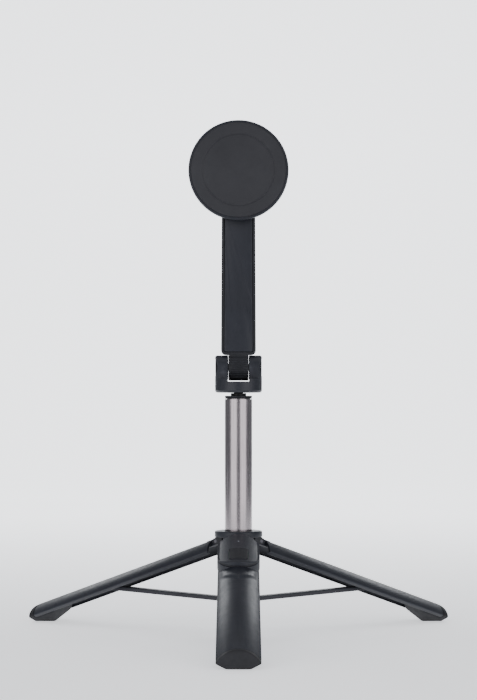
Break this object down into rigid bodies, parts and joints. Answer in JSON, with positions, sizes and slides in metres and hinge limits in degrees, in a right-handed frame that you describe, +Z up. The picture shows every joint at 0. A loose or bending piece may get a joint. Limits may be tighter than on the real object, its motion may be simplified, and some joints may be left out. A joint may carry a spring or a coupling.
{
  "type": "selfie stick",
  "caption": "Selfie stick whose handle opens into braced tripod legs, with a telescoping pole, a tilting arm, a magnetic phone plate and a docked remote.",
  "frame": {"origin": "on the floor, under the middle of the box around the standing stick", "axes": "+Z up the pole, -Y towards the front leg and the phone plate's face, +X to the right seen from the front"},
  "size_m": [0.2482, 0.216, 0.2873],
  "materials": {
    "shell_plastic": "fine-textured satin black moulding with a cool blue-grey sheen",
    "trim_plastic": "darker satin black moulding",
    "button_plastic": "smooth matt black key",
    "brace_metal": "black powder-coated strip",
    "pole_metal": "brushed anodised gunmetal tube",
    "pin_steel": "blackened turned steel",
    "magnet_plating": "nickel plating",
    "foot_rubber": "matt black rubber",
    "pad_rubber": "soft silicone face",
    "circuit_board": "green solder mask",
    "lamp_lens": "frosted light guide"
  },
  "bodies": {
    "base": {"hub_body": "trim_plastic", "hub_cap": "shell_plastic", "stem_cap": "trim_plastic", "leg_pin_front": "pin_steel", "leg_pin_right": "pin_steel", "leg_pin_left": "pin_steel", "pole_1": "pole_metal", "pole_collar": "trim_plastic"},
    "slider": {"slider": "trim_plastic", "slider_pin_front": "pin_steel", "slider_pin_right": "pin_steel", "slider_pin_left": "pin_steel"},
    "leg_front": {"leg_shell_front": "shell_plastic", "foot_front": "foot_rubber"},
    "leg_right": {"leg_shell_right": "shell_plastic", "foot_right": "foot_rubber"},
    "leg_left": {"leg_shell_left": "shell_plastic", "foot_left": "foot_rubber"},
    "brace_front": {"brace_front": "brace_metal", "track_pin_front": "pin_steel"},
    "brace_right": {"brace_right": "brace_metal", "track_pin_right": "pin_steel"},
    "brace_left": {"brace_left": "brace_metal", "track_pin_left": "pin_steel"},
    "remote": {"remote_tray": "trim_plastic", "remote_cover": "shell_plastic", "remote_board": "circuit_board", "remote_cell": "magnet_plating", "remote_led": "lamp_lens"},
    "remote_button": {"remote_button": "button_plastic"},
    "pole_2": {"pole_2": "pole_metal", "pole_bush_2": "trim_plastic"},
    "pole_3": {"pole_3": "pole_metal", "pole_bush_3": "trim_plastic"},
    "pole_4": {"pole_4": "pole_metal", "pole_bush_4": "trim_plastic", "neck_plug": "trim_plastic"},
    "yoke": {"yoke": "shell_plastic", "arm_pin": "pin_steel", "pin_cap_left": "trim_plastic", "pin_cap_right": "trim_plastic", "arm_washer_left": "pin_steel", "arm_washer_right": "pin_steel"},
    "arm": {"arm_body": "trim_plastic", "arm_cover": "shell_plastic", "swivel_washer": "trim_plastic", "swivel_screw": "pin_steel"},
    "plate": {"plate_back": "shell_plastic", "shield_ring": "magnet_plating", "magnet_ring": "magnet_plating", "plate_front": "shell_plastic", "plate_pad": "pad_rubber", "swivel_nut": "pin_steel"}
  },
  "joints": [
    {"name": "leg_front_fold", "type": "hinge", "parent": "base", "child": "leg_front", "pos_m": [0, 0.01822, 0.052], "axis": [1, 0, 0], "range_deg": [0, 70.6]},
    {"name": "leg_right_fold", "type": "hinge", "parent": "base", "child": "leg_right", "pos_m": [0.00996, 0.03547, 0.052], "axis": [-0.5, 0.866, 0], "range_deg": [0, 70.6]},
    {"name": "leg_left_fold", "type": "hinge", "parent": "base", "child": "leg_left", "pos_m": [-0.00996, 0.03547, 0.052], "axis": [-0.5, -0.866, 0], "range_deg": [0, 70.6]},
    {"name": "slider_rise", "type": "slide", "parent": "base", "child": "slider", "axis": [0, 0, 1], "range_m": [0, 0.012]},
    {"name": "brace_front_swing", "type": "hinge", "parent": "slider", "child": "brace_front", "pos_m": [0, 0.02072, 0.0195], "axis": [1, 0, 0], "range_deg": [0, 92.2]},
    {"name": "brace_right_swing", "type": "hinge", "parent": "slider", "child": "brace_right", "pos_m": [0.00779, 0.03422, 0.0195], "axis": [-0.5, 0.866, 0], "range_deg": [0, 92.2]},
    {"name": "brace_left_swing", "type": "hinge", "parent": "slider", "child": "brace_left", "pos_m": [-0.00779, 0.03422, 0.0195], "axis": [-0.5, -0.866, 0], "range_deg": [0, 92.2]},
    {"name": "remote_release", "type": "slide", "parent": "leg_front", "child": "remote", "axis": [0, -0.3322, 0.9432], "range_m": [0, 0.015]},
    {"name": "remote_button_press", "type": "slide", "parent": "remote", "child": "remote_button", "axis": [0, 0.3322, -0.9432], "range_m": [0, 0.0006], "stiffness_N_per_m": 300, "springref_m": -0.0005},
    {"name": "pole_2_slide", "type": "slide", "parent": "base", "child": "pole_2", "axis": [0, 0, 1], "range_m": [0, 0.08]},
    {"name": "pole_3_slide", "type": "slide", "parent": "pole_2", "child": "pole_3", "axis": [0, 0, 1], "range_m": [0, 0.08]},
    {"name": "pole_4_slide", "type": "slide", "parent": "pole_3", "child": "pole_4", "axis": [0, 0, 1], "range_m": [0, 0.08]},
    {"name": "yoke_pan", "type": "hinge", "parent": "pole_4", "child": "yoke", "pos_m": [0, 0.02972, 0.13515], "axis": [0, 0, 1], "continuous": true},
    {"name": "arm_tilt", "type": "hinge", "parent": "yoke", "child": "arm", "pos_m": [0, 0.02972, 0.1493], "axis": [1, 0, 0], "range_deg": [-90, 90]},
    {"name": "plate_swivel", "type": "hinge", "parent": "arm", "child": "plate", "pos_m": [0, 0.02272, 0.2593], "axis": [0, 1, 0], "continuous": true}
  ],
  "couplings": [
    {"joint": "leg_right_fold", "follows": "leg_front_fold", "ratio": 1},
    {"joint": "leg_left_fold", "follows": "leg_front_fold", "ratio": 1},
    {"joint": "slider_rise", "follows": "leg_front_fold", "m_per_rad": 0.0097386},
    {"joint": "brace_front_swing", "follows": "leg_front_fold", "ratio": 1.3027},
    {"joint": "brace_right_swing", "follows": "leg_front_fold", "ratio": 1.3027},
    {"joint": "brace_left_swing", "follows": "leg_front_fold", "ratio": 1.3027}
  ]
}
